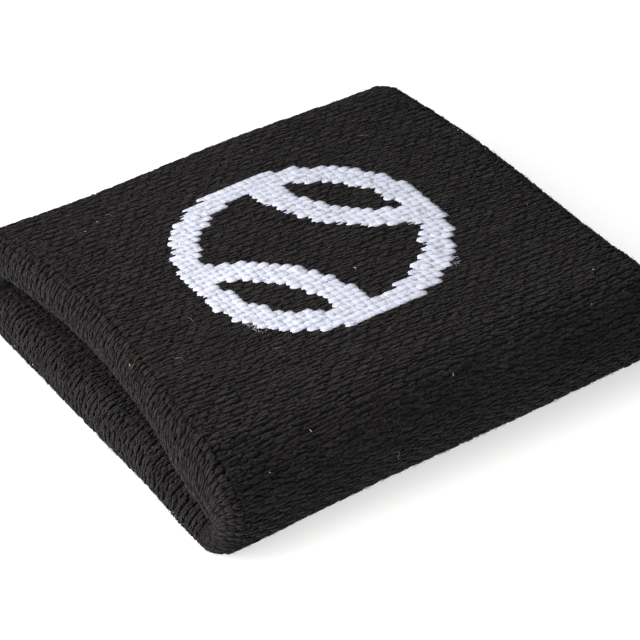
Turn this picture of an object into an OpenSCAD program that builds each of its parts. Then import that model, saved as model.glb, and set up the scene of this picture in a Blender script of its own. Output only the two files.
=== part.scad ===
// Sweat wristband: one knitted tube turned in on itself and lying flat.
// Every ply is face cloth, a core of pile loops and lining cloth. The band
// lies along X, its wrist opening runs right through it, and its underside
// is at z = 0. The upper ply lifts when the mouth of the band is opened.

/* [Band] */
// Length of the band along the wrist
band_length = 80; // [60:1:120]
// Width of the band lying flat, fold to fold
band_width = 80; // [70:1:100]
// Thickness of one ply, from face to lining
ply_thick = 6; // [5:0.1:8]
// Height of the wrist opening between the two plies
mouth_gap = 5; // [4.8:0.1:12]

/* [Cloth] */
// Thickness of the knitted cloth alone, without its pile
cloth_thick = 1.6; // [1.2:0.1:1.8]
// Clearance between layers that lie on each other
layer_gap = 0.05; // [0.02:0.01:0.1]
// Angle up each fold at which the lifting ply begins
lift_angle = 67.5; // [30:0.5:75]
// Angle left open between the lifting ply and the folds
lift_gap = 4; // [3:0.5:8]

/* [Elastic yarn] */
// Number of elastic yarn rings laid in along the band
elastic_rings = 16; // [6:1:24]
// Width of one elastic yarn
elastic_width = 0.9; // [0.5:0.1:1.2]
// Thickness of one elastic yarn
elastic_thick = 0.4; // [0.3:0.05:0.4]

/* [Joining seam] */
// Width of the overlocked seam round the lining
seam_width = 2.6; // [2:0.1:4]
// How far the seam stands proud of the lining
seam_proud = 0.1; // [0.05:0.05:0.2]

/* [Motif] */
// Outside diameter of the ball motif
motif_d = 44; // [30:1:48]
// Width of the lines of the motif
motif_line = 4.5; // [3:0.5:6]
// Depth of the motif stitches in the cloth
motif_depth = 1; // [0.6:0.1:1]
// Clearance round the motif in its pocket
motif_clear = 0.1; // [0.05:0.05:0.2]
// Radius of the two curved seam lines of the ball
motif_arc_r = 21; // [16:0.5:24]
// Distance of each curved line's centre from the ball's centre
motif_arc_offset = 29.5; // [24:0.5:34]
// Thickness of the layer of cut floats behind the motif
float_thick = 0.3; // [0.2:0.05:0.35]
// Turn of the motif about the vertical
motif_turn = 35; // [0:5:90]

/* [Hidden] */
$fn = 96;
ply_half = ply_thick / 2;
face_r = mouth_gap / 2 + ply_thick;
face_in_r = face_r - cloth_thick;
lining_r = mouth_gap / 2;
lining_out_r = lining_r + cloth_thick;
core_in_r = lining_out_r + elastic_thick + 2 * layer_gap;
core_out_r = face_in_r - float_thick - 2 * layer_gap;
core_end = ply_half - cloth_thick - layer_gap;
fold_y = band_width / 2 - face_r;
edge_x = band_length / 2 - ply_half;
elastic_r = lining_out_r + layer_gap;
elastic_pitch = 2 * (edge_x - 2) / (elastic_rings - 1);
float_r = face_in_r - layer_gap - float_thick;
elastic_start = 2 - edge_x - elastic_width / 2;
fold_end = lift_angle - lift_gap / 2;
lift_start = lift_angle + lift_gap / 2;
// Angle left open where the upper turned edge passes from flat to curved
edge_split = 0.5;
// Longer than any part of the cross-section
reach = band_width;

function direction(angle) = [cos(angle), sin(angle)];

// ---- Layers: the band's cross-section, extruded along the band. In the
// ---- section x is the place across the band and y the height above the
// ---- middle of the wrist opening.

module flat_tube(r) {
    square([2 * fold_y, 2 * r], center = true);
    for (side = [-1, 1]) translate([side * fold_y, 0]) circle(r = r);
}

module layer_section(r_in, r_out) {
    difference() {
        flat_tube(r_out);
        flat_tube(r_in);
    }
}

module lower_mask() {
    translate([-fold_y, -reach]) square([2 * fold_y, reach]);
}

module far_fold_mask() {
    translate([fold_y, 0])
        polygon([[0, 0], [0, -reach], [reach, -reach], reach * direction(fold_end)]);
}

module near_fold_mask() {
    mirror([1, 0]) far_fold_mask();
}

module upper_mask() {
    polygon([
        [-fold_y, 0],
        [-fold_y - reach * cos(lift_start), reach * sin(lift_start)],
        [fold_y + reach * cos(lift_start), reach * sin(lift_start)],
        [fold_y, 0]
    ]);
}

// The children's section between the places x0 and x1 along the band
module along(x0, x1) {
    translate([x0, 0, face_r]) rotate([90, 0, 90]) linear_extrude(height = x1 - x0) children();
}

// Each layer is cut to one stretch of the tube by the mask in its children

module face_layer() {
    along(-edge_x, edge_x) intersection() {
        layer_section(face_in_r, face_r);
        children();
    }
}

module core_layer() {
    core_x = edge_x + core_end / 2;
    along(-core_x, core_x) intersection() {
        layer_section(core_in_r, core_out_r);
        children();
    }
}

// The lining stops on each side of the joining seam
module lining_layer() {
    seam_x = seam_width / 2 + layer_gap;
    for (start = [-edge_x, seam_x]) along(start, start + edge_x - seam_x) intersection() {
        layer_section(lining_r, lining_out_r);
        children();
    }
}

module elastic_layer() {
    for (i = [0 : elastic_rings - 1])
        along(elastic_start + i * elastic_pitch, elastic_start + i * elastic_pitch + elastic_width)
            intersection() {
                layer_section(elastic_r, elastic_r + elastic_thick);
                children();
            }
}

module seam_layer() {
    along(-seam_width / 2, seam_width / 2) intersection() {
        layer_section(lining_r - seam_proud, lining_out_r);
        children();
    }
}

// ---- Turned edges: x is the distance from the middle of the wrist opening,
// ---- y the place along the band

// The cloth turned over an open end: half a round tube, side 1 or -1
module edge_section(side) {
    intersection() {
        translate([lining_r + ply_half, side * edge_x]) difference() {
            circle(r = ply_half);
            circle(r = ply_half - cloth_thick);
        }
        translate([0, side > 0 ? edge_x + layer_gap : -edge_x - layer_gap - ply_thick])
            square([2 * face_r, ply_thick]);
    }
}

module flat_edge(side) {
    translate([0, -fold_y, face_r]) rotate([-90, -90, 0])
        linear_extrude(height = 2 * fold_y) edge_section(side);
}

// The edge round the far fold, from angle a to angle b above level
module fold_edge(side, a, b) {
    translate([0, fold_y, face_r]) rotate([90, 0, 90])
        rotate([0, 0, a]) rotate_extrude(angle = b - a) edge_section(side);
}

module lower_edge(side) {
    color("#323135") translate([0, 0, 2 * face_r]) mirror([0, 0, 1]) flat_edge(side);
}

module far_fold_edge(side) {
    color("#323135") fold_edge(side, -90, fold_end);
}

module near_fold_edge(side) {
    mirror([0, 1, 0]) far_fold_edge(side);
}

module upper_edge(side) {
    color("#323135") {
        flat_edge(side);
        fold_edge(side, lift_start, 90 - edge_split);
        mirror([0, 1, 0]) fold_edge(side, lift_start, 90 - edge_split);
    }
}

// ---- Motif: a plain ball with two curved seam lines

module motif_outline(grow) {
    rotate([0, 0, motif_turn]) {
        difference() {
            circle(d = motif_d + 2 * grow);
            circle(d = motif_d - 2 * motif_line - 2 * grow);
        }
        intersection() {
            circle(d = motif_d - motif_line);
            for (side = [-1, 1]) translate([side * motif_arc_offset, 0]) difference() {
                circle(r = motif_arc_r + motif_line / 2 + grow);
                circle(r = motif_arc_r - motif_line / 2 - grow);
            }
        }
    }
}

module motif_stitches() {
    color("white") translate([0, 0, 2 * face_r - motif_depth])
        linear_extrude(height = motif_depth) motif_outline(0);
}

module motif_cut_floats() {
    color("gainsboro") translate([0, 0, face_r + float_r])
        linear_extrude(height = float_thick) motif_outline(0);
}

// ---- Face cloth

module lower_face_cloth() { color("#1c1b1d") face_layer() lower_mask(); }
module near_fold_face_cloth() { color("#232225") face_layer() near_fold_mask(); }
module far_fold_face_cloth() { color("#232225") face_layer() far_fold_mask(); }

module upper_face_cloth() {
    color("#1f1e20") difference() {
        face_layer() upper_mask();
        translate([0, 0, 2 * face_r - motif_depth - motif_clear / 2])
            linear_extrude(height = motif_depth + 1) motif_outline(motif_clear);
    }
}

// ---- Pile core

module lower_pile_core() { color("#3a3735") core_layer() lower_mask(); }
module near_fold_pile_core() { color("#3a3735") core_layer() near_fold_mask(); }
module far_fold_pile_core() { color("#3a3735") core_layer() far_fold_mask(); }
module upper_pile_core() { color("#3a3735") core_layer() upper_mask(); }

// ---- Lining cloth

module lower_lining_cloth() { color("#29282a") lining_layer() lower_mask(); }
module near_fold_lining_cloth() { color("#29282a") lining_layer() near_fold_mask(); }
module far_fold_lining_cloth() { color("#29282a") lining_layer() far_fold_mask(); }
module upper_lining_cloth() { color("#29282a") lining_layer() upper_mask(); }

// ---- Turned edges, front at -X and rear at +X

module lower_front_turned_edge() { lower_edge(-1); }
module near_fold_front_turned_edge() { near_fold_edge(-1); }
module far_fold_front_turned_edge() { far_fold_edge(-1); }
module upper_front_turned_edge() { upper_edge(-1); }
module lower_rear_turned_edge() { lower_edge(1); }
module near_fold_rear_turned_edge() { near_fold_edge(1); }
module far_fold_rear_turned_edge() { far_fold_edge(1); }
module upper_rear_turned_edge() { upper_edge(1); }

// ---- Elastic yarn rings

module lower_elastic_yarns() { color("dimgray") elastic_layer() lower_mask(); }
module near_fold_elastic_yarns() { color("dimgray") elastic_layer() near_fold_mask(); }
module far_fold_elastic_yarns() { color("dimgray") elastic_layer() far_fold_mask(); }
module upper_elastic_yarns() { color("dimgray") elastic_layer() upper_mask(); }

// ---- Joining seam round the lining

module lower_joining_seam() { color("#151515") seam_layer() lower_mask(); }
module near_fold_joining_seam() { color("#151515") seam_layer() near_fold_mask(); }
module far_fold_joining_seam() { color("#151515") seam_layer() far_fold_mask(); }
module upper_joining_seam() { color("#151515") seam_layer() upper_mask(); }

lower_face_cloth();
near_fold_face_cloth();
far_fold_face_cloth();
upper_face_cloth();
lower_pile_core();
near_fold_pile_core();
far_fold_pile_core();
upper_pile_core();
lower_lining_cloth();
near_fold_lining_cloth();
far_fold_lining_cloth();
upper_lining_cloth();
lower_front_turned_edge();
near_fold_front_turned_edge();
far_fold_front_turned_edge();
upper_front_turned_edge();
lower_rear_turned_edge();
near_fold_rear_turned_edge();
far_fold_rear_turned_edge();
upper_rear_turned_edge();
lower_elastic_yarns();
near_fold_elastic_yarns();
far_fold_elastic_yarns();
upper_elastic_yarns();
lower_joining_seam();
near_fold_joining_seam();
far_fold_joining_seam();
upper_joining_seam();
motif_stitches();
motif_cut_floats();
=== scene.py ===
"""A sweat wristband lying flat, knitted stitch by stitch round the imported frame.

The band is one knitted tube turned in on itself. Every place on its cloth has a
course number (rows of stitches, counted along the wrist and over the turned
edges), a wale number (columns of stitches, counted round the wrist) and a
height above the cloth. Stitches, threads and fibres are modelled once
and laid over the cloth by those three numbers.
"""

from __future__ import annotations

import logging
import math
from dataclasses import dataclass, field, replace
from enum import Enum
from typing import ClassVar

import bpy
import numpy as np
from mathutils import Matrix, Vector

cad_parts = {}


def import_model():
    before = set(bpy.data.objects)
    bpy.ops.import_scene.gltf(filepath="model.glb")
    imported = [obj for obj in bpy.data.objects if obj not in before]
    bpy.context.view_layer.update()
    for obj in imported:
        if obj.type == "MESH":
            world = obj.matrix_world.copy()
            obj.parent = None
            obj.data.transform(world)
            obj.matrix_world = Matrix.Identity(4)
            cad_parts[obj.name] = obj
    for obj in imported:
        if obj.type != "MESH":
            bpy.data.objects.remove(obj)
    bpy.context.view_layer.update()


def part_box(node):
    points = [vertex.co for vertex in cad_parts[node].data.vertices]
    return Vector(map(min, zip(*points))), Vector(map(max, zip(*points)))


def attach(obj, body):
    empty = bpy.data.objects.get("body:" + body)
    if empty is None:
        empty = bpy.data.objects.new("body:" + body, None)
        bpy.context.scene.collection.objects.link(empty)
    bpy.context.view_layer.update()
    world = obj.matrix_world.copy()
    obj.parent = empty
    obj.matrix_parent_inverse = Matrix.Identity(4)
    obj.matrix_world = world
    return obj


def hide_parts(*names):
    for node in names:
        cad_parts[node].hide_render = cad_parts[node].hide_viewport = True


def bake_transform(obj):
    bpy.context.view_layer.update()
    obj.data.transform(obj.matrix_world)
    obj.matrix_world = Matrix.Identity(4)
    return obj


Array = np.ndarray
Material = bpy.types.Material
Socket = bpy.types.NodeSocket
LOG = logging.getLogger("wristband")
MM = 0.001
SEED = 351
LOWER_BODY = "lower_ply"


@dataclass(frozen=True)
class StretchPlan:
    """Where a stretch of the flattened tube lies and what its pieces are called.

    The wales, first and last, are counted from the middle of the upper ply."""

    wales: tuple[int, int]
    prefix: str
    ending: str


class Stretch(Enum):
    """The stretches of the flattened tube that the CAD has, and the plies' two halves."""

    UPPER_NEAR = StretchPlan((-28, 0), "upper", "near")
    UPPER_FAR = StretchPlan((0, 28), "upper", "far")
    NEAR_FOLD = StretchPlan((-47, -28), "near_fold", "bend")
    FAR_FOLD = StretchPlan((28, 47), "far_fold", "bend")
    LOWER_NEAR = StretchPlan((-72, -47), "lower", "near")
    LOWER_FAR = StretchPlan((47, 72), "lower", "far")

    @property
    def wales(self) -> tuple[int, int]:
        """First and last wale."""
        return self.value.wales

    @property
    def lifts(self) -> bool:
        """True where the cloth lifts with the upper ply."""
        return self.value.prefix == "upper"

    def node(self, part: str) -> str:
        """The CAD node of that part in this stretch."""
        return f"{self.value.prefix}_{part}"

    def piece(self, part: str) -> str:
        """The name of the piece that shows that part in this stretch."""
        return f"{self.value.prefix}_{part}_{self.value.ending}"


@dataclass(frozen=True)
class ZonePlan:
    """A part of the cloth along the tube.

    It has its runs of courses, the end of its CAD nodes' names, its material slot,
    the models of its stitches, used in turn as in brickwork, how thick the yarn is,
    1 for the model's own, and how deep the ground lies below the cloth's surface."""

    runs: tuple[tuple[int, int], ...]
    part: str
    slot: str
    stitches: tuple[str, ...]
    bulk: float
    ground: float


class Zone(Enum):
    """The cloth from end to end. Over the turned edges it is stretched, so its stitches open."""

    FACE = ZonePlan(((-30, 30),), "face_cloth", "face_cloth", ("fine", "sunk"), 1.0, 0.08 * MM)
    FRONT_EDGE = ZonePlan(((-38, -30),), "front_turned_edge", "turned_edge", ("brief",), 0.95, 0.2 * MM)
    REAR_EDGE = ZonePlan(((30, 38),), "rear_turned_edge", "turned_edge", ("brief",), 0.95, 0.2 * MM)
    LINING = ZonePlan(((-67, -38), (38, 67)), "lining_cloth", "lining_cloth", ("plain",), 1.0, 0.1 * MM)


@dataclass(frozen=True)
class Gauge:
    """How many stitches the tube has, and how deep its layers lie below its surface."""

    flat_wales: int = 25
    fold_wales: int = 22
    face_courses: int = 30
    edge_courses: int = 8
    ground_base: float = 1.5 * MM
    pile_depth: float = 2.05 * MM
    elastic_depth: float = 1.85 * MM
    float_depth: float = 1.82 * MM


def ease(t: Array) -> Array:
    """A smooth step from 0 to 1."""
    t = np.clip(t, 0, 1)
    return t * t * (3 - 2 * t)


def hump(t: Array) -> Array:
    """A smooth hump, 1 at 0 and 0 from -1 down and from 1 up."""
    return np.cos(np.clip(t, -1, 1) * math.pi / 2) ** 2


@dataclass(frozen=True)
class Wave:
    """A slow wave over the band: how fast it turns along it and across it, and where it starts."""

    along: float
    across: float
    start: float

    def at(self, x: Array, y: Array) -> Array:
        """Its height, -1 to 1, at places in half lengths and half widths."""
        return np.sin(self.along * x + self.across * y + self.start)


@dataclass(frozen=True)
class Drape:
    """How the soft band departs from true flats and rounds.

    The ends swell until the mouth nearly closes, the upper ply has crept back from
    the front end, each fold is pinched in at its ends, and at the near front corner
    the upper ply hangs over the lower one. Starts, ends, middles and reaches are
    parts of half the length or half the width. Each "lower" is the lower ply's share."""

    crown: float = 0.7 * MM
    ripple: float = 0.3 * MM
    ripples: tuple[Wave, Wave] = (Wave(3.1, 1.7, 0.6), Wave(-1.9, 2.3, 1.1))
    side_depth: float = 0.4 * MM
    side_wave: Wave = Wave(3.7, 0, 0.5)
    swell: float = 1.6 * MM
    swell_start: float = 0.62
    swell_reach: float = 0.31
    pinch: float = 1.2 * MM
    pinch_start: float = 0.7
    pinch_outside: float = 0.25
    sag: float = 4.0 * MM
    sag_start: float = 0.35
    sag_reach: float = 0.4
    sag_end: float = 0.83
    end_start: float = 0.15
    end_reach: float = 0.8
    creep: float = 4.2 * MM
    creep_middle: float = 0.2
    creep_reach: float = 1.2
    front_bulge: float = 0.3 * MM
    bulge_middle: float = -0.15
    rear_depth: float = 1.0 * MM
    rear_wave: Wave = Wave(0, 2.6, 0.455)
    rear_lower: float = 0.3
    side_lower: float = 0.4

    def fatten(self, x: Array, r: Array, tube: Tube) -> Array:
        """Swells the ends of the plies inwards, so that the mouth nearly closes.

        Args:
            x: Places along the band.
            r: Distances out from the middle of the wrist opening.
            tube: The band that they are on.

        Returns:
            The changed distances.
        """
        near_end = ease((np.abs(x) / tube.half_length - self.swell_start) / self.swell_reach)
        return r - self.swell * near_end * (tube.middle_z - r) / tube.ply

    def pinched(self, x: Array, r: Array, bend: Array, tube: Tube) -> Array:
        """Draws the turned edges in where they pass round the folds.

        Args:
            x: Places along the band.
            r: Distances out from the middle of the wrist opening.
            bend: Angles round the fold, 0 at the upper ply.
            tube: The band that they are on.

        Returns:
            The changed places along the band.
        """
        near_end = ease((np.abs(x) / tube.half_length - self.pinch_start) / (1 - self.pinch_start))
        inside = np.clip((tube.middle_z - r) / tube.ply, 0, 1)
        share = self.pinch_outside + (1 - self.pinch_outside) * inside
        return x - np.sign(x) * self.pinch * near_end * np.sin(bend) ** 6 * share

    def relax(self, points: Array, lift: Array, half: Array) -> Array:
        """Moves points of the true shape to where the soft cloth lies.

        Args:
            points: Places in the row frame, one row each.
            lift: For each, 1 on the upper ply, 0 on the lower one and between them on the folds.
            half: Half the band's length, half its width and its whole height.

        Returns:
            The moved places.
        """
        x, y = points[:, 0] / half[0], points[:, 1] / half[1]
        front = ease(-(x + self.end_start) / self.end_reach)
        rear = ease((x - self.end_start) / self.end_reach)
        middle = np.clip(1 - x**2, 0, 1) * np.clip(1 - y**2, 0, 1)
        back = hump((y - self.creep_middle) / self.creep_reach)
        corner = front * ease((-y - self.sag_start) / self.sag_reach)
        corner *= 1 - ease((-y - self.sag_end) / (1 - self.sag_end))
        moved = points.copy()
        moved[:, 2] -= corner * self.sag * np.sin(np.clip(points[:, 2] / half[2], 0, 1) * math.pi)
        bulge = self.front_bulge * hump(y - self.bulge_middle)
        moved[:, 0] += front * (lift * self.creep * back - (1 - lift) * bulge)
        share = self.rear_lower + (1 - self.rear_lower) * lift
        moved[:, 0] += rear * share * self.rear_depth * self.rear_wave.at(x, y)
        share = self.side_lower + (1 - self.side_lower) * lift
        moved[:, 1] += self.side_depth * y**3 * self.side_wave.at(x, y) * share
        ripple = self.ripples[0].at(x, y) * self.ripples[1].at(x, y)
        moved[:, 2] += lift * (self.crown * middle + self.ripple * ripple)
        moved[:, 2] = np.maximum(moved[:, 2], 0)
        return moved


@dataclass(frozen=True)
class Tube:
    """The flattened, turned tube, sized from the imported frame."""

    gauge: Gauge
    drape: Drape
    half_length: float
    half_width: float
    height: float
    ply: float
    flat_y: float

    @classmethod
    def from_frame(cls) -> Tube:
        """Reads the band's sizes from the CAD nodes."""
        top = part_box("upper_face_cloth")[1].z
        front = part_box("lower_front_turned_edge")[0].x
        return cls(
            gauge=Gauge(),
            drape=Drape(),
            half_length=-front,
            half_width=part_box("far_fold_face_cloth")[1].y,
            height=top,
            ply=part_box("lower_lining_cloth")[1].z,
            flat_y=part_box("lower_face_cloth")[1].y,
        )

    @property
    def edge_x(self) -> float:
        """Where the straight cloth ends and the turned edge begins."""
        return self.half_length - self.ply / 2

    @property
    def middle_z(self) -> float:
        """Height of the middle of the wrist opening."""
        return self.height / 2

    @property
    def course_pitch(self) -> float:
        """Length of one course on the face."""
        return self.edge_x / self.gauge.face_courses

    @property
    def wale_pitch(self) -> float:
        """Width of one wale on the flat."""
        return self.flat_y / self.gauge.flat_wales

    def place(self, course: Array, wale: Array, height: Array) -> Array:
        """Finds places in the row frame.

        Args:
            course: Course numbers, 0 at the middle of the face.
            wale: Wale numbers, 0 at the middle of the upper ply.
            height: Heights above the cloth in metres, out of the ply.

        Returns:
            One row of x, y and z for each.
        """
        g = self.gauge
        along, side = np.abs(course), np.where(course < 0, -1.0, 1.0)
        turn = np.clip((along - g.face_courses) / g.edge_courses, 0, 1) * math.pi
        back = np.clip(along - g.face_courses - g.edge_courses, 0, None)
        straight = (np.minimum(along, g.face_courses) - back) * self.course_pitch
        out = self.ply / 2 + height
        x = side * (straight + out * np.sin(turn))
        r = self.middle_z - self.ply / 2 + out * np.cos(turn)
        around, hand = np.abs(wale), np.where(wale < 0, -1.0, 1.0)
        bend = np.clip((around - g.flat_wales) / g.fold_wales, 0, 1) * math.pi
        under = np.clip(around - g.flat_wales - g.fold_wales, 0, None)
        level = (np.minimum(around, g.flat_wales) - under) * self.wale_pitch
        r = self.drape.fatten(x, r, self)
        x = self.drape.pinched(x, r, bend, self)
        places = np.stack([x, hand * (level + r * np.sin(bend)), self.middle_z + r * np.cos(bend)], axis=1)
        half = np.array([self.half_length, self.half_width, self.height])
        return self.drape.relax(places, (1 + np.cos(bend)) / 2, half)

    def place_all(self, course: Array, wale: Array, height: Array) -> Array:
        """The same for whole copies of a model: copies by vertices by x, y and z."""
        return self.place(course.ravel(), wale.ravel(), height.ravel()).reshape(*course.shape, 3)

    def lining_course(self, x: float) -> float:
        """The course number on the lining at that place along the band."""
        g = self.gauge
        back = g.face_courses - abs(x) / self.course_pitch
        return math.copysign(g.face_courses + g.edge_courses + back, x)

    def blend(self, piece: bpy.types.Object, stretch: Stretch) -> None:
        """Bakes the placement of a piece of the lifting ply into its mesh."""
        hand = -1 if stretch.wales[0] < 0 else 1
        last = stretch.wales[0] if hand < 0 else stretch.wales[1]
        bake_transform(piece)


@dataclass(frozen=True)
class YarnModel:
    """A short length of yarn, modelled once.

    Each vertex has its place and the place in the middle of the yarn that it goes
    with, both as part of a wale, part of a course and millimetres of height."""

    points: Array
    middles: Array
    faces: list[tuple[int, ...]]
    uv: Array

    def turned(self) -> YarnModel:
        """The same length of yarn lying across the courses instead of along the wales."""
        quarter = np.array([1, -1, 1])
        return YarnModel(
            self.points[:, [1, 0, 2]] * quarter, self.middles[:, [1, 0, 2]] * quarter, self.faces, self.uv
        )

    def thick(self, bulk: float | Array) -> Array:
        """The vertices of a yarn that many times as thick."""
        return self.middles + (self.points - self.middles) * bulk


@dataclass(frozen=True)
class YarnStep:
    """One ring of a yarn model: its middle across, along and above the cloth, and
    its half width and half depth."""

    across: float
    along: float
    above: float
    half_wide: float
    half_deep: float


def model_yarn(name: str, steps: list[YarnStep], sides: int) -> YarnModel:
    """Models a length of yarn by extruding a small ring from step to step.

    Args:
        name: Name of the model while it is being made.
        steps: The rings, from one end to the other.
        sides: Number of sides of each ring.

    Returns:
        The finished model. Across and along are in wales and courses, above in millimetres.
    """
    bpy.ops.object.select_all(action="DESELECT")
    first = steps[0]
    bpy.ops.mesh.primitive_circle_add(
        vertices=sides, radius=1, fill_type="NGON", rotation=(math.radians(90), 0, 0)
    )
    shape = bpy.context.object
    shape.name = name
    bpy.ops.object.transform_apply(location=False, rotation=True, scale=True)
    bpy.ops.object.mode_set(mode="EDIT")
    bpy.ops.mesh.select_all(action="SELECT")
    bpy.ops.transform.resize(value=(first.half_wide, 1, first.half_deep))
    bpy.ops.transform.translate(value=(first.across, first.along, first.above))
    for before, after in zip(steps, steps[1:]):
        shift = (after.across - before.across, after.along - before.along, after.above - before.above)
        bpy.ops.mesh.extrude_region_move(TRANSFORM_OT_translate={"value": shift})
        bpy.ops.transform.resize(
            value=(after.half_wide / before.half_wide, 1, after.half_deep / before.half_deep),
            center_override=(after.across, after.along, after.above),
        )
    bpy.ops.mesh.select_all(action="SELECT")
    bpy.ops.mesh.normals_make_consistent(inside=False)
    bpy.ops.object.mode_set(mode="OBJECT")
    points = np.array([v.co for v in shape.data.vertices], float)
    faces = [tuple(p.vertices) for p in shape.data.polygons]
    bpy.data.objects.remove(shape)
    rings = np.array([(s.across, s.along, s.above) for s in steps])
    nearest = np.abs(points[:, None, 1] - rings[None, :, 1]).argmin(axis=1)
    return YarnModel(points, rings[nearest], faces, unroll(points - rings[nearest], faces, nearest))


def unroll(off: Array, faces: list[tuple[int, ...]], ring: Array) -> Array:
    """Gives each face corner its place along the yarn and round it.

    Args:
        off: Each vertex's place seen from the middle of its ring.
        faces: The faces.
        ring: The number of each vertex's ring.

    Returns:
        One row of along and round for each face corner.
    """
    around = np.arctan2(off[:, 2], off[:, 0]) / (2 * math.pi) + 0.5
    rows = []
    for face in faces:
        turn = around[list(face)]
        turn = np.where(turn < turn.max() - 0.5, turn + 1, turn)
        rows += [(ring[i] / ring.max(), t) for i, t in zip(face, turn)]
    return np.array(rows)


# The rings of every yarn model, each in the order of YarnStep's fields.
SHAPES: dict[str, tuple[tuple[float, ...], ...]] = {
    "left": (
        (-0.04, -0.50, -0.08, 0.06, 0.05), (-0.12, -0.18, 0.05, 0.16, 0.09),
        (-0.17, 0.22, 0.08, 0.21, 0.11), (-0.20, 0.62, 0.08, 0.22, 0.11),
        (-0.23, 0.98, 0.05, 0.19, 0.10), (-0.26, 1.28, -0.12, 0.09, 0.06),
    ),
    "right": (
        (0.08, -0.42, -0.12, 0.06, 0.05), (0.18, -0.10, 0.02, 0.15, 0.09),
        (0.23, 0.28, 0.04, 0.19, 0.10), (0.25, 0.68, 0.04, 0.20, 0.10),
        (0.27, 1.04, 0.01, 0.18, 0.09), (0.28, 1.34, -0.14, 0.09, 0.06),
    ),
    "short": (
        (-0.08, -0.46, -0.14, 0.10, 0.08), (-0.22, 0.30, 0.08, 0.24, 0.14),
        (-0.30, 1.00, -0.16, 0.10, 0.08),
    ),
    "brief": (
        (-0.06, -0.48, -0.12, 0.07, 0.06), (-0.17, 0.02, 0.08, 0.21, 0.13),
        (-0.23, 0.50, 0.07, 0.22, 0.13), (-0.28, 0.94, -0.16, 0.09, 0.07),
    ),
    "tooth": (
        (-0.02, -0.58, 0.00, 0.04, 0.04), (-0.15, -0.20, 0.05, 0.21, 0.07),
        (-0.24, 0.40, 0.05, 0.26, 0.08), (-0.30, 1.04, -0.02, 0.08, 0.05),
    ),
    "filler": (
        (-0.03, -0.66, 0.03, 0.22, 0.05), (0, -0.30, 0.10, 0.56, 0.09),
        (0, 0.66, 0.10, 0.68, 0.09), (0.03, 1.12, 0.03, 0.26, 0.05),
    ),
    "thread": (
        (-0.80, -1.30, -0.30, 0.12, 0.10), (-0.50, -0.80, 0.10, 0.15, 0.13),
        (0.00, 0.00, 0.16, 0.15, 0.13), (0.50, 0.80, 0.10, 0.15, 0.13),
        (0.80, 1.30, -0.30, 0.12, 0.10),
    ),
    "elastic": (
        (0, -0.56, 0.00, 0.28, 0.13), (0, -0.20, 0.02, 0.38, 0.20),
        (0, 0.20, -0.02, 0.38, 0.20), (0, 0.56, 0.00, 0.28, 0.13),
    ),
    "tail": (
        (0.00, -1.10, -0.10, 0.10, 0.08), (0.10, -0.40, 0.03, 0.18, 0.13),
        (-0.08, 0.40, 0.00, 0.17, 0.12), (0.12, 1.20, -0.06, 0.20, 0.10),
    ),
    "fibre": (
        (0.00, -0.50, -0.15, 0.7, 0.7), (0.20, -0.18, 0.20, 1.0, 1.0),
        (-0.12, 0.20, 0.38, 0.9, 0.9), (0.16, 0.50, 0.10, 0.4, 0.4),
    ),
}


class YarnModels:
    """The lengths of yarn that the whole band is laid from, each modelled once.

    A stitch shows two legs. On the face fine stitches, drawn out over two courses,
    take turns with sunk ones. Brief ones are for the turned edges, plain ones for the
    lining, and the motif's white ones have a filler between their legs."""

    sunk_by: float = 0.05

    def __init__(self) -> None:
        """Models every length of yarn."""
        shapes = {name: [YarnStep(*ring) for ring in rings] for name, rings in SHAPES.items()}
        low = [replace(step, above=step.above - self.sunk_by) for step in shapes["short"]]
        self.fine = (model_yarn("left_leg", shapes["left"], 6), model_yarn("right_leg", shapes["right"], 6))
        self.sunk = self.legs(low, 4)
        self.brief = self.legs(shapes["brief"], 4)
        self.plain = self.legs(shapes["short"], 4)
        self.white = self.legs(shapes["tooth"], 6)
        self.filler = model_yarn("filler", shapes["filler"], 6)
        self.thread = model_yarn("thread", shapes["thread"], 5)
        self.elastic = model_yarn("elastic", shapes["elastic"], 5).turned()
        self.tail = model_yarn("tail", shapes["tail"], 4).turned()
        self.fibre = model_yarn("fibre", shapes["fibre"], 3)

    @staticmethod
    def legs(steps: list[YarnStep], sides: int) -> tuple[YarnModel, YarnModel]:
        """Models the left leg of a stitch and its mirror image."""
        other = [replace(step, across=-step.across) for step in steps]
        return model_yarn("left_leg", steps, sides), model_yarn("right_leg", other, sides)


@dataclass(frozen=True)
class Slab:
    """A closed slab of cloth between two heights: its vertices and its quads' corners."""

    points: Array
    corners: Array

    @classmethod
    def over(cls, tube: Tube, courses: Array, wales: Array, top: float, base: float) -> Slab:
        """Makes the slab over a grid of courses and wales.

        Args:
            tube: The band that it is part of.
            courses: Course numbers of the grid, rising.
            wales: Wale numbers of the grid, rising.
            top: Height of its upper side above the cloth.
            base: Height of its lower side.

        Returns:
            The slab, with its faces outwards.
        """
        c, w = np.meshgrid(courses, wales, indexing="ij")
        n, m = c.shape
        levels = [tube.place(c.ravel(), w.ravel(), np.full(c.size, level)) for level in (top, base)]
        upper = np.arange(n * m).reshape(n, m)
        lower = upper + n * m
        quads = [
            np.stack([upper[:-1, :-1], upper[1:, :-1], upper[1:, 1:], upper[:-1, 1:]], -1),
            np.stack([lower[:-1, :-1], lower[:-1, 1:], lower[1:, 1:], lower[1:, :-1]], -1),
            np.stack([upper[:-1, 0], lower[:-1, 0], lower[1:, 0], upper[1:, 0]], -1),
            np.stack([upper[:-1, -1], upper[1:, -1], lower[1:, -1], lower[:-1, -1]], -1),
            np.stack([upper[0, :-1], upper[0, 1:], lower[0, 1:], lower[0, :-1]], -1),
            np.stack([upper[-1, :-1], lower[-1, :-1], lower[-1, 1:], upper[-1, 1:]], -1),
        ]
        return cls(np.concatenate(levels), np.concatenate([q.reshape(-1) for q in quads]))


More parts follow.
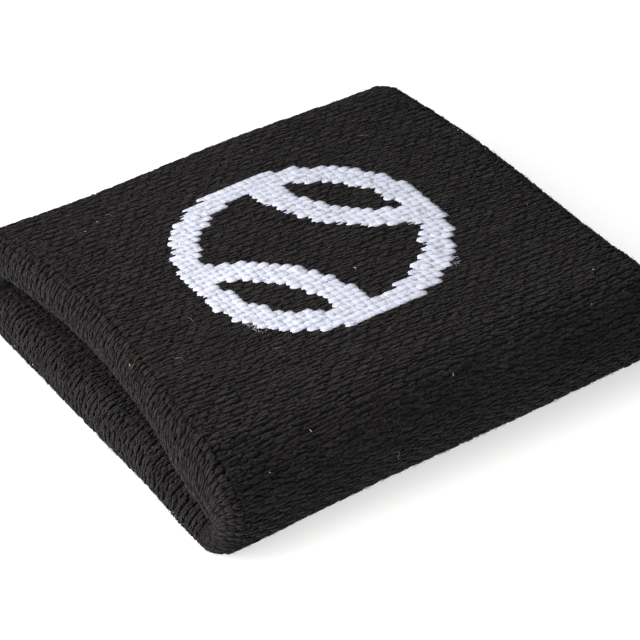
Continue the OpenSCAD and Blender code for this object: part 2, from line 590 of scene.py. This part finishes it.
@dataclass
class Lay:
    """Copies of yarn models waiting to be joined into one piece."""

    points: list[Array] = field(default_factory=list)
    faces: list[Array] = field(default_factory=list)
    sizes: list[Array] = field(default_factory=list)
    uvs: list[Array] = field(default_factory=list)
    tones: list[Array] = field(default_factory=list)
    count: int = 0

    def add(self, model: YarnModel, placed: Array, tone: Array) -> None:
        """Adds one copy of the model for each row of placed.

        Args:
            model: The yarn model.
            placed: Places of its vertices, copies by vertices by 3.
            tone: One number from 0 to 1 for each copy, for its colour.
        """
        copies, size = placed.shape[:2]
        corners = np.concatenate([np.array(face) for face in model.faces])
        starts = self.count + np.arange(copies)[:, None] * size
        self.points.append(placed.reshape(-1, 3))
        self.faces.append((corners[None, :] + starts).ravel())
        self.sizes.append(np.tile([len(face) for face in model.faces], copies))
        self.uvs.append(np.tile(model.uv, (copies, 1)))
        self.tones.append(np.repeat(tone, size))
        self.count += copies * size

    def add_slab(self, slab: Slab) -> None:
        """Adds a closed slab of ground cloth, coloured darker than the stitches on it as painted shade in the
        gaps between them.
        """
        self.points.append(slab.points)
        self.faces.append(slab.corners + self.count)
        self.sizes.append(np.full(len(slab.corners) // 4, 4))
        self.uvs.append(np.zeros((len(slab.corners), 2)))
        # Painted shade: tone 0 colours the ground slab darker than the stitches, standing in for the shade in
        # the gaps between them.
        self.tones.append(np.zeros(len(slab.points)))
        self.count += len(slab.points)

    def build(self, name: str) -> bpy.types.Object:
        """Joins the copies into one mesh object of that name."""
        points, corners = np.concatenate(self.points), np.concatenate(self.faces)
        sizes = np.concatenate(self.sizes)
        mesh = bpy.data.meshes.new(name)
        mesh.vertices.add(len(points))
        mesh.vertices.foreach_set("co", points.astype(np.float32).ravel())
        mesh.loops.add(len(corners))
        mesh.loops.foreach_set("vertex_index", corners.astype(np.int32))
        mesh.polygons.add(len(sizes))
        mesh.polygons.foreach_set("loop_start", (np.cumsum(sizes) - sizes).astype(np.int32))
        mesh.polygons.foreach_set("use_smooth", np.ones(len(sizes), bool))
        mesh.update(calc_edges=True)
        layer = mesh.uv_layers.new(name="yarn")
        layer.data.foreach_set("uv", np.concatenate(self.uvs).astype(np.float32).ravel())
        tone = mesh.attributes.new("tone", "FLOAT", "POINT")
        tone.data.foreach_set("value", np.concatenate(self.tones).astype(np.float32))
        piece = bpy.data.objects.new(name, mesh)
        bpy.context.scene.collection.objects.link(piece)
        return piece


def matt_material(name: str, roughness: float, specular: float) -> Material:
    """A new material whose shader has that roughness and that much gloss."""
    mat = bpy.data.materials.new(name)
    mat.use_nodes = True
    shader = mat.node_tree.nodes["Principled BSDF"]
    shader.inputs["Roughness"].default_value = roughness
    shader.inputs["Specular IOR Level"].default_value = specular
    return mat


def colour_by(mat: Material, value: Socket, stops: tuple) -> None:
    """Colours a material by a value, through a ramp.

    Args:
        mat: The material.
        value: The value, 0 to 1.
        stops: Places on the ramp, rising, each with its colour.
    """
    nodes, links = mat.node_tree.nodes, mat.node_tree.links
    ramp = nodes.new("ShaderNodeValToRGB")
    elements = ramp.color_ramp.elements
    while len(elements) < len(stops):
        elements.new(0.5)
    for element, (position, colour) in zip(elements, stops):
        element.position = position
        element.color = (*colour, 1)
    links.new(value, ramp.inputs["Fac"])
    links.new(ramp.outputs["Color"], nodes["Principled BSDF"].inputs["Base Color"])


def bump_by(mat: Material, height: Socket, distance: float) -> bpy.types.Node:
    """Gives a material relief of that depth from a value, and returns the bump node."""
    nodes, links = mat.node_tree.nodes, mat.node_tree.links
    bump = nodes.new("ShaderNodeBump")
    bump.inputs["Distance"].default_value = distance
    links.new(height, bump.inputs["Height"])
    links.new(bump.outputs["Normal"], nodes["Principled BSDF"].inputs["Normal"])
    return bump


@dataclass(frozen=True)
class YarnFinish:
    """A yarn's colour, its lighter fibres, its fuzz and its twist."""

    name: str
    dark: tuple[float, float, float]
    light: tuple[float, float, float]
    roughness: float = 0.85
    specular: float = 0.12
    sheen: float = 0.06
    sheen_roughness: float = 0.5
    twist_depth: float = 0.08 * MM
    twist_turns: float = 2.0
    twist_relief: float = 0.5
    fibre_relief: float = 0.9
    bump_strength: float = 0.7
    fibre_scale: float = 3600.0
    patch_scale: float = 140.0
    fibre_tone: float = 0.8
    patch_tone: float = 0.35
    copy_tone: float = 0.5
    tone_offset: float = -0.32
    dark_at: float = 0.30
    light_at: float = 0.80

    def build(self) -> Material:
        """Makes the material: two plies twisted together, loose fibres, uneven dye, and painted shade on
        ground slabs whose tone is low.
        """
        mat = matt_material(self.name, self.roughness, self.specular)
        nodes = mat.node_tree.nodes
        shader = nodes["Principled BSDF"]
        shader.inputs["Sheen Weight"].default_value = self.sheen
        shader.inputs["Sheen Roughness"].default_value = self.sheen_roughness
        place = nodes.new("ShaderNodeTexCoord")
        fibres = self._noise(mat, place, self.fibre_scale, detail=3.0)
        patches = self._noise(mat, place, self.patch_scale, detail=2.0)
        tone = nodes.new("ShaderNodeAttribute")
        tone.attribute_name = "tone"
        # The tone holds each copy's random dye tone, and on the ground slabs (tone 0) painted shade for the
        # gaps between stitches.
        terms = [(fibres, self.fibre_tone), (patches, self.patch_tone), (tone.outputs["Fac"], self.copy_tone)]
        mixed = self._sum(mat, terms, self.tone_offset)
        colour_by(mat, mixed, ((self.dark_at, self.dark), (self.light_at, self.light)))
        relief = self._sum(mat, [(self._twist(mat), self.twist_relief), (fibres, self.fibre_relief)], 0.0)
        bump_by(mat, relief, self.twist_depth).inputs["Strength"].default_value = self.bump_strength
        return mat

    @staticmethod
    def _noise(mat: Material, place: bpy.types.Node, scale: float, detail: float) -> Socket:
        """A noise over the piece, repeating no pattern."""
        noise = mat.node_tree.nodes.new("ShaderNodeTexNoise")
        noise.inputs["Scale"].default_value = scale
        noise.inputs["Detail"].default_value = detail
        mat.node_tree.links.new(place.outputs["Object"], noise.inputs["Vector"])
        return noise.outputs["Fac"]

    @staticmethod
    def _sum(mat: Material, terms: list, offset: float) -> Socket:
        """A weighted sum of values plus an offset."""
        total = None
        for socket, weight in terms:
            node = mat.node_tree.nodes.new("ShaderNodeMath")
            node.operation = "MULTIPLY_ADD"
            mat.node_tree.links.new(socket, node.inputs[0])
            node.inputs[1].default_value = weight
            if total is None:
                node.inputs[2].default_value = offset
            else:
                mat.node_tree.links.new(total, node.inputs[2])
            total = node.outputs[0]
        return total

    def _twist(self, mat: Material) -> Socket:
        """Slanted ridges of two plies twisted round each other, along the yarn's own UV."""
        nodes, links = mat.node_tree.nodes, mat.node_tree.links
        uv = nodes.new("ShaderNodeUVMap")
        uv.uv_map = "yarn"
        split = nodes.new("ShaderNodeSeparateXYZ")
        links.new(uv.outputs["UV"], split.inputs[0])
        rate = 2 * math.pi * self.twist_turns
        turn = self._sum(mat, [(split.outputs["X"], rate), (split.outputs["Y"], rate)], 0.0)
        wave = nodes.new("ShaderNodeMath")
        wave.operation = "SINE"
        links.new(turn, wave.inputs[0])
        return wave.outputs[0]


@dataclass(frozen=True)
class FibreFinish:
    """Loose fibres, coloured by their tone: black, cream, reddish or white."""

    name: str
    colours: tuple[tuple[float, tuple[float, float, float]], ...] = (
        (0.0, (0.012, 0.011, 0.011)),
        (0.45, (0.07, 0.066, 0.066)),
        (0.7, (0.50, 0.45, 0.36)),
        (0.85, (0.22, 0.10, 0.085)),
        (1.0, (0.72, 0.74, 0.80)),
    )

    def build(self) -> Material:
        """Makes the material from a ramp over the tone."""
        mat = matt_material(self.name, roughness=0.7, specular=0.2)
        tone = mat.node_tree.nodes.new("ShaderNodeAttribute")
        tone.attribute_name = "tone"
        colour_by(mat, tone.outputs["Fac"], self.colours)
        return mat


@dataclass(frozen=True)
class CoreFinish:
    """The terry pile behind the stitches: nearly black, matt and lumpy."""

    name: str
    colour: tuple[float, float, float]
    loop_scale: float = 900.0
    loop_depth: float = 0.3 * MM
    hollow_shade: float = 0.4

    def build(self) -> Material:
        """Makes the material from a lumpy noise, with painted shade in the hollows between the loops."""
        mat = matt_material(self.name, roughness=0.95, specular=0.1)
        nodes = mat.node_tree.nodes
        place = nodes.new("ShaderNodeTexCoord")
        loops = nodes.new("ShaderNodeTexVoronoi")
        loops.inputs["Scale"].default_value = self.loop_scale
        mat.node_tree.links.new(place.outputs["Object"], loops.inputs["Vector"])
        # Painted shade: the hollows between the pile's loops are coloured hollow_shade times as dark as the
        # loop tops.
        hollow = tuple(c * self.hollow_shade for c in self.colour)
        colour_by(mat, loops.outputs["Distance"], ((0.0, self.colour), (1.0, hollow)))
        bump_by(mat, loops.outputs["Distance"], self.loop_depth).invert = True
        return mat


@dataclass(frozen=True)
class BallMotif:
    """A plain ball with two curved seam lines, read from the CAD node's size.

    The drawn sizes are the line, the arcs' radius and their offset for the drawn radius."""

    radius: float
    line: float
    arc_radius: float
    arc_offset: float
    turn: float = math.radians(35)
    drawn_radius: ClassVar[float] = 22
    drawn_sizes: ClassVar[tuple[float, float, float]] = (4.5, 21, 29.5)

    @classmethod
    def from_frame(cls) -> BallMotif:
        """Sizes the motif from its CAD node."""
        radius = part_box("motif_stitches")[1].x
        line, arc_radius, arc_offset = (radius * size / cls.drawn_radius for size in cls.drawn_sizes)
        return cls(radius, line, arc_radius, arc_offset)

    def covers(self, x: Array, y: Array) -> Array:
        """True where a stitch at x and y is knitted in white."""
        along = x * math.cos(self.turn) + y * math.sin(self.turn)
        across = y * math.cos(self.turn) - x * math.sin(self.turn)
        out = np.hypot(along, across)
        found = (out < self.radius) & (out > self.radius - self.line)
        for side in (-1, 1):
            off = np.hypot(along - side * self.arc_offset, across)
            found |= (np.abs(off - self.arc_radius) < self.line / 2) & (out < self.radius)
        return found


@dataclass(frozen=True)
class Unevenness:
    """How much one stitch differs from the next: standard deviations, and how many at most."""

    slant: float = 0.05
    across: float = 0.08
    along: float = 0.13
    above: float = 0.05 * MM
    bulk: float = 0.12
    tone: float = 0.25
    limit: float = 2.2


@dataclass(frozen=True)
class Inside:
    """How the yarns inside the band lie, in courses and wales, and how they vary."""

    float_spread: float = 0.2
    float_stretch: float = 0.15
    float_tone: float = 0.2
    rings: int = 16
    ring_half: float = 0.45 * MM
    ring_tones: tuple[float, float] = (0.3, 0.7)
    seam_half: float = 0.95
    stitch_step: float = 0.5
    chain_at: float = 0.9
    chain_bulk: float = 0.8


@dataclass
class Knit:
    """Lays stitches over the cloth of one stretch and zone."""

    tube: Tube
    models: YarnModels
    motif: BallMotif
    black: Material
    white: Material
    covered: Material
    rng: np.random.Generator
    odd: Unevenness = Unevenness()
    inside: Inside = Inside()
    lean: float = 0.1
    white_uneven: float = 0.5
    filler_uneven: float = 0.4

    def grid(self, stretch: Stretch, plan: ZonePlan) -> tuple[Array, Array]:
        """The course and wale number of every stitch there."""
        wales = np.arange(*stretch.wales)
        courses = np.concatenate([np.arange(*run) for run in plan.runs])
        c, w = (part.ravel() for part in np.meshgrid(courses, wales, indexing="ij"))
        return c.astype(float), w + 0.5

    def lay(
        self, lay: Lay, model: YarnModel, course: Array, wale: Array,
        bulk: float, uneven: float = 1.0,
    ) -> None:
        """Lays one copy of a yarn model at each stitch, a little uneven.

        Args:
            lay: Where the copies go.
            model: The yarn model.
            course: Course numbers of the stitches.
            wale: Wale numbers of the stitches.
            bulk: How thick the yarn is, 1 for the model's own.
            uneven: How uneven the copies are, 1 for the black cloth's own.
        """
        odd = self.odd
        jitter = np.clip(self.rng.normal(0, 1, (len(course), 6)), -odd.limit, odd.limit) * uneven
        points = model.thick(bulk * (1 + odd.bulk * jitter[:, 4, None, None]))
        slant = odd.slant * jitter[:, 0:1] - self.lean
        across = points[..., 0] + odd.across * jitter[:, 1:2] + slant * points[..., 1]
        along = points[..., 1] + odd.along * jitter[:, 2:3]
        above = points[..., 2] * MM + odd.above * jitter[:, 3:4]
        placed = self.tube.place_all(course[:, None] + along, wale[:, None] + across, above)
        lay.add(model, placed, np.clip(0.5 + odd.tone * jitter[:, 5], 0, 1))

    def cloth(self, stretch: Stretch, zone: Zone) -> None:
        """Makes the ground and the black stitches of a zone, and the white ones if the motif is in it."""
        plan = zone.value
        course, wale = self.grid(stretch, plan)
        white = np.zeros(len(course), bool)
        if zone is Zone.FACE and stretch.lifts:
            x, y = course * self.tube.course_pitch, wale * self.tube.wale_pitch
            white = self.motif.covers(x, y)
        lay = Lay()
        first, last = stretch.wales
        for run in plan.runs:
            courses, wales = np.arange(run[0], run[1] + 1.0), np.arange(first, last + 1.0)
            lay.add_slab(Slab.over(self.tube, courses, wales, -plan.ground, -self.tube.gauge.ground_base))
        turn = (course + np.floor(wale)) % len(plan.stitches)
        for number, stitch in enumerate(plan.stitches):
            here = (turn == number) & ~white
            for leg in getattr(self.models, stitch):
                self.lay(lay, leg, course[here], wale[here], plan.bulk)
        piece = lay.build(stretch.piece(plan.part))
        settle(piece, self.black, [stretch.node(plan.part)], stretch, self.tube)
        if white.any():
            self.white_stitches(stretch, course[white], wale[white])
            self.cut_floats(stretch, course[white], wale[white])

    def white_stitches(self, stretch: Stretch, course: Array, wale: Array) -> None:
        """Makes the motif's stitches, fuller than the black ones and with no gaps between."""
        lay = Lay()
        for leg in self.models.white:
            self.lay(lay, leg, course, wale, 1.0, self.white_uneven)
        self.lay(lay, self.models.filler, course, wale, 1.0, self.filler_uneven)
        piece = lay.build(f"motif_stitches_{stretch.value.ending}")
        settle(piece, self.white, ["motif_stitches"], stretch, self.tube)

    def cut_floats(self, stretch: Stretch, course: Array, wale: Array) -> None:
        """Makes the cut ends of the white yarn behind the motif, one to every other stitch."""
        course, wale = course[::2, None], wale[::2, None]
        tail, points, inside = self.models.tail, self.models.tail.points[None], self.inside
        jitter = self.rng.normal(0, 1, (len(course), 3))
        c = course + points[..., 1] + inside.float_spread * jitter[:, 0:1]
        w = wale + points[..., 0] * (1 + inside.float_stretch * jitter[:, 1:2])
        above = np.broadcast_to(points[..., 2] * MM - self.tube.gauge.float_depth, c.shape)
        lay = Lay()
        lay.add(tail, self.tube.place_all(c, w, above), np.clip(0.5 + inside.float_tone * jitter[:, 2], 0, 1))
        piece = lay.build(f"motif_cut_floats_{stretch.value.ending}")
        settle(piece, self.white, ["motif_cut_floats"], stretch, self.tube)

    def elastic_yarns(self, stretch: Stretch) -> None:
        """Makes the rings of covered elastic yarn between the pile and the lining."""
        low, high = (corner.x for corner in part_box("lower_elastic_yarns"))
        yarn, inside = self.models.elastic, self.inside
        places = np.linspace(low + inside.ring_half, high - inside.ring_half, inside.rings)
        course = np.array([self.tube.lining_course(x) for x in places])
        c, w = np.meshgrid(course, np.arange(*stretch.wales) + 0.5, indexing="ij")
        points = np.broadcast_to(yarn.points, (c.size, *yarn.points.shape))
        above = points[..., 2] * MM - self.tube.gauge.elastic_depth
        c, w = c.reshape(-1, 1) + points[..., 1], w.reshape(-1, 1) + points[..., 0]
        lay = Lay()
        lay.add(yarn, self.tube.place_all(c, w, above), self.rng.uniform(*inside.ring_tones, len(c)))
        piece = lay.build(stretch.piece("elastic_yarns"))
        settle(piece, self.covered, [stretch.node("elastic_yarns")], stretch, self.tube)

    def joining_seam(self, stretch: Stretch) -> None:
        """Makes the overlocked seam round the lining: the cut ends and the thread over them."""
        inside, middle = self.inside, self.tube.lining_course(0)
        first, last = stretch.wales
        lay = Lay()
        courses = middle + np.linspace(-inside.seam_half, inside.seam_half, 3)
        base = -self.tube.gauge.ground_base
        lay.add_slab(Slab.over(self.tube, courses, np.arange(first, last + 1.0), 0.0, base))
        wale = np.arange(first, last, inside.stitch_step) + inside.stitch_step / 2
        self.lay(lay, self.models.thread, np.full(len(wale), middle), wale, 1.0)
        wale = wale[::2] + inside.stitch_step / 2
        chain = np.full(len(wale), middle - inside.chain_at)
        self.lay(lay, self.models.elastic, chain, wale, inside.chain_bulk)
        piece = lay.build(stretch.piece("joining_seam"))
        settle(piece, self.black, [stretch.node("joining_seam")], stretch, self.tube)


class Fibre(Enum):
    """Kinds of loose fibre: shortest and longest in millimetres, and half the thickness."""

    FUZZ = (0.4, 1.3, 0.016 * MM)
    SPECK = (0.25, 0.5, 0.05 * MM)
    PALE = (1.4, 2.6, 0.013 * MM)
    REDDISH = (3.0, 3.0, 0.03 * MM)
    TUFT = (0.6, 1.5, 0.02 * MM)

    @property
    def radius(self) -> float:
        """Half the thickness."""
        return self.value[2]

    def lengths(self, rng: np.random.Generator, n: int) -> Array:
        """Lengths of that many fibres."""
        return rng.uniform(*self.value[:2], n) * MM


@dataclass
class LooseFibres:
    """Fluff on the face and the turned edges: fine dark fibres, specks of lint, a few
    long pale fibres and a reddish one, and tufts of white fluff at the motif's edge.

    The tone picks the colour. Places are courses and wales."""

    tube: Tube
    model: YarnModel
    mat: Material
    rng: np.random.Generator
    black: float = 0.45
    cream: float = 0.7
    reddish: float = 0.85
    white: float = 1.0
    per_stitch: float = 2.0
    specks_per_stitch: float = 0.003
    pale: int = 3
    reddish_place: tuple[float, float] = (-31.0, -6.7)
    tufts: tuple[tuple[float, float], ...] = ((-14.5, -10.1), (12.7, -12.3))
    tuft_fibres: int = 26
    tuft_spread: tuple[float, float] = (0.7, 0.9)
    curl: float = 1.6
    rise: tuple[float, float] = (0.2, 0.8)
    highest: float = 1.2 * MM
    clear: float = 0.15 * MM

    def add(
        self, lay: Lay, course: Array, wale: Array,
        length: Array, radius: float, tone: Array,
    ) -> None:
        """Adds one curved fibre at each place, turned at random.

        Args:
            lay: Where the fibres go.
            course: Course numbers of their middles.
            wale: Wale numbers of their middles.
            length: Their lengths, end to end.
            radius: Half their thickness.
            tone: Their colours.
        """
        n = len(course)
        turn = self.rng.uniform(0, 2 * math.pi, (n, 1))
        curl = self.rng.uniform(-self.curl, self.curl, (n, 1))
        rise = self.rng.uniform(*self.rise, (n, 1)) * np.minimum(length[:, None], self.highest)
        middles, off = self.model.middles, (self.model.points - self.model.middles) * radius
        x = middles[None, :, 0] * length[:, None] * curl + off[None, :, 0]
        y = middles[None, :, 1] * length[:, None] + off[None, :, 1]
        z = middles[None, :, 2] * rise + off[None, :, 2]
        c = course[:, None] + (x * np.sin(turn) + y * np.cos(turn)) / self.tube.course_pitch
        w = wale[:, None] + (x * np.cos(turn) - y * np.sin(turn)) / self.tube.wale_pitch
        lay.add(self.model, self.tube.place_all(c, w, z + self.clear), tone)

    def build(self, stretch: Stretch) -> None:
        """Makes all the loose fibres of one stretch."""
        rng, face = self.rng, self.tube.gauge.face_courses
        first, last = stretch.wales
        edge = face + self.tube.gauge.edge_courses
        stitches = (last - first) * edge * 2
        lay = Lay()
        n, kind = int(stitches * self.per_stitch), Fibre.FUZZ
        self.add(
            lay, rng.uniform(-edge, edge, n), rng.uniform(first + 1, last - 1, n),
            kind.lengths(rng, n), kind.radius, rng.uniform(0, self.black, n),
        )
        n, kind = int(stitches * self.specks_per_stitch), Fibre.SPECK
        self.add(
            lay, rng.uniform(-edge, edge, n), rng.uniform(first + 1, last - 1, n),
            kind.lengths(rng, n), kind.radius, rng.choice([self.cream, self.white], n),
        )
        n, kind = self.pale, Fibre.PALE
        self.add(
            lay, rng.uniform(-face, face, n), rng.uniform(first + 3, last - 3, n),
            kind.lengths(rng, n), kind.radius, np.full(n, self.cream),
        )
        if stretch is Stretch.UPPER_NEAR:
            course, wale = (np.array([place]) for place in self.reddish_place)
            length = np.array([Fibre.REDDISH.value[1] * MM])
            self.add(lay, course, wale, length, Fibre.REDDISH.radius, np.array([self.reddish]))
            n, kind = self.tuft_fibres, Fibre.TUFT
            for course, wale in self.tufts:
                self.add(
                    lay, course + rng.normal(0, self.tuft_spread[0], n),
                    wale + rng.normal(0, self.tuft_spread[1], n),
                    kind.lengths(rng, n), kind.radius, np.full(n, self.white),
                )
        piece = lay.build(stretch.piece("loose_fibres"))
        settle(piece, self.mat, [], stretch, self.tube)


def settle(
    piece: bpy.types.Object, mat: Material, nodes: list[str], stretch: Stretch, tube: Tube
) -> None:
    """Finishes a piece and joins it to the frame.

    Args:
        piece: The piece.
        mat: Its material.
        nodes: The CAD nodes that it stands for and hides.
        stretch: Where it is. A piece on the lifting ply has its placement baked into its mesh; any other is
            attached to the lower ply's body.
        tube: The band.
    """
    piece.data.materials.append(mat)
    if nodes:
        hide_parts(*nodes)
    if stretch.lifts:
        tube.blend(piece, stretch)
    else:
        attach(piece, LOWER_BODY)
    LOG.info("%s: %d faces", piece.name, len(piece.data.polygons))


@dataclass
class PileCore:
    """The padding of terry pile between face and lining, one closed body in each stretch."""

    tube: Tube
    mat: Material
    fill: float = 0.5

    def build(self, stretch: Stretch) -> None:
        """Makes the pile of one stretch: a flat ring swept over the wales, closed at both ends."""
        g = self.tube.gauge
        middle = int(self.tube.lining_course(0))
        courses, wales = np.arange(-middle, middle, 1.0), np.arange(*stretch.wales, 1.0)
        wales = np.append(wales, stretch.wales[1])
        w, c = np.meshgrid(wales, courses, indexing="ij")
        places = self.tube.place(c.ravel(), w.ravel(), np.full(c.size, -g.pile_depth))
        rows, ring = len(wales), len(courses)
        faces = []
        for i in range(rows - 1):
            for k in range(ring):
                a, b = i * ring + k, i * ring + (k + 1) % ring
                faces.append((a, b, b + ring, a + ring))
        for start in (0, (rows - 1) * ring):
            for k in range(ring // 2 - 1):
                faces.append((start + k, start + k + 1, start + ring - k - 2, start + ring - k - 1))
        name = stretch.piece("pile_core")
        mesh = bpy.data.meshes.new(name)
        mesh.from_pydata([tuple(p) for p in places], [], faces)
        mesh.polygons.foreach_set("use_smooth", [True] * len(faces))
        piece = bpy.data.objects.new(name, mesh)
        bpy.context.scene.collection.objects.link(piece)
        outward(piece)
        settle(piece, self.mat, [stretch.node("pile_core")], stretch, self.tube)


def outward(piece: bpy.types.Object) -> None:
    """Turns every face of a closed piece outwards."""
    bpy.ops.object.select_all(action="DESELECT")
    piece.select_set(True)
    bpy.context.view_layer.objects.active = piece
    bpy.ops.object.mode_set(mode="EDIT")
    bpy.ops.mesh.select_all(action="SELECT")
    bpy.ops.mesh.normals_make_consistent(inside=False)
    bpy.ops.object.mode_set(mode="OBJECT")


@dataclass(frozen=True)
class Lamp:
    """A soft square lamp that faces the band."""

    name: str
    place: tuple[float, float, float]
    size: float
    power: float
    colour: tuple[float, float, float]

    def build(self) -> None:
        """Adds the lamp."""
        data = bpy.data.lights.new(self.name, "AREA")
        data.size, data.energy, data.color = self.size, self.power, self.colour
        lamp = bpy.data.objects.new(self.name, data)
        lamp.location = self.place
        lamp.rotation_euler = (-Vector(self.place)).to_track_quat("-Z", "Y").to_euler()
        bpy.context.scene.collection.objects.link(lamp)


@dataclass
class Studio:
    """A pale floor, soft lights and the camera.

    One lamp is overhead, and a closer one on the left fades to the right."""

    azimuth: float = -31.5
    elevation: float = 35.5
    roll: float = -3.6
    distance: float = 0.376
    lens: float = 135.0
    aim_right: float = 1.15 * MM
    aim_up: float = 3.0 * MM
    lamps: tuple[Lamp, ...] = (
        Lamp("overhead", (-0.25, 0.2, 0.85), 0.8, 3.8, (1, 1, 1)),
        Lamp("near_left", (-0.28, 0.0, 0.15), 0.36, 2.3, (1, 0.975, 0.95)),
    )
    world_glow: float = 0.14
    floor_size: float = 6
    floor_gap: float = 0.05 * MM
    floor_grey: float = 0.5
    floor_glow: float = 0.66

    def build(self) -> None:
        """Makes the stage, the lights and the camera."""
        self.floor()
        self.lights()
        self.camera()

    def floor(self) -> None:
        """A large pale floor just under the band."""
        bpy.ops.object.select_all(action="DESELECT")
        bpy.ops.mesh.primitive_plane_add(size=self.floor_size, location=(0, 0, -self.floor_gap))
        plane = bpy.context.object
        plane.name = "floor"
        mat = bpy.data.materials.new("pale_floor")
        mat.use_nodes = True
        shader = mat.node_tree.nodes["Principled BSDF"]
        shader.inputs["Base Color"].default_value = (*[self.floor_grey] * 3, 1)
        shader.inputs["Emission Color"].default_value = (1, 1, 1, 1)
        shader.inputs["Emission Strength"].default_value = self.floor_glow
        shader.inputs["Roughness"].default_value = 0.9
        plane.data.materials.append(mat)

    def lights(self) -> None:
        """The lamps and an even glow from all round."""
        for lamp in self.lamps:
            lamp.build()
        world = bpy.data.worlds.new("studio")
        world.use_nodes = True
        glow = world.node_tree.nodes["Background"]
        glow.inputs["Color"].default_value = (1, 1, 1, 1)
        glow.inputs["Strength"].default_value = self.world_glow
        bpy.context.scene.world = world
        bpy.context.scene.view_settings.view_transform = "Standard"

    def camera(self) -> None:
        """A long lens, looking down on the near corner of the band."""
        turn, rise = math.radians(self.azimuth), math.radians(self.elevation)
        back = Vector((math.sin(turn) * math.cos(rise), -math.cos(turn) * math.cos(rise), math.sin(rise)))
        right = (-back).cross(Vector((0, 0, 1))).normalized()
        up = right.cross(-back)
        tilt = math.radians(self.roll)
        cos, sin = math.cos(tilt), math.sin(tilt)
        right, up = right * cos + up * sin, up * cos - right * sin
        data = bpy.data.cameras.new("camera")
        data.lens = self.lens
        data.clip_start, data.clip_end = 0.01, 20
        camera = bpy.data.objects.new("camera", data)
        camera.matrix_world = Matrix.Translation(
            back * self.distance + right * self.aim_right + up * self.aim_up
        ) @ Matrix((right, up, back)).transposed().to_4x4()
        bpy.context.scene.collection.objects.link(camera)
        bpy.context.scene.camera = camera


def main() -> None:
    """Builds the band, stretch by stretch, and the studio round it."""
    logging.basicConfig(level=logging.INFO, format="%(name)s %(message)s")
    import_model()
    tube = Tube.from_frame()
    Studio().build()
    black = YarnFinish("black_yarn", (0.0042, 0.0032, 0.0034), (0.0185, 0.0160, 0.0166)).build()
    white = YarnFinish(
        "white_yarn", (0.61, 0.63, 0.74), (0.69, 0.71, 0.84), sheen=0.05, twist_depth=0.01 * MM
    ).build()
    covered = YarnFinish("covered_elastic", (0.03, 0.03, 0.03), (0.09, 0.09, 0.09)).build()
    pile = CoreFinish("terry_pile", (0.02, 0.019, 0.018)).build()
    fluff = FibreFinish("fluff").build()
    rng = np.random.default_rng(SEED)
    models = YarnModels()
    knit = Knit(tube, models, BallMotif.from_frame(), black, white, covered, rng)
    core = PileCore(tube, pile)
    fibres = LooseFibres(tube, models.fibre, fluff, rng)
    for stretch in Stretch:
        for zone in Zone:
            knit.cloth(stretch, zone)
        knit.elastic_yarns(stretch)
        knit.joining_seam(stretch)
        core.build(stretch)
        fibres.build(stretch)


if __name__ == "__main__":
    main()
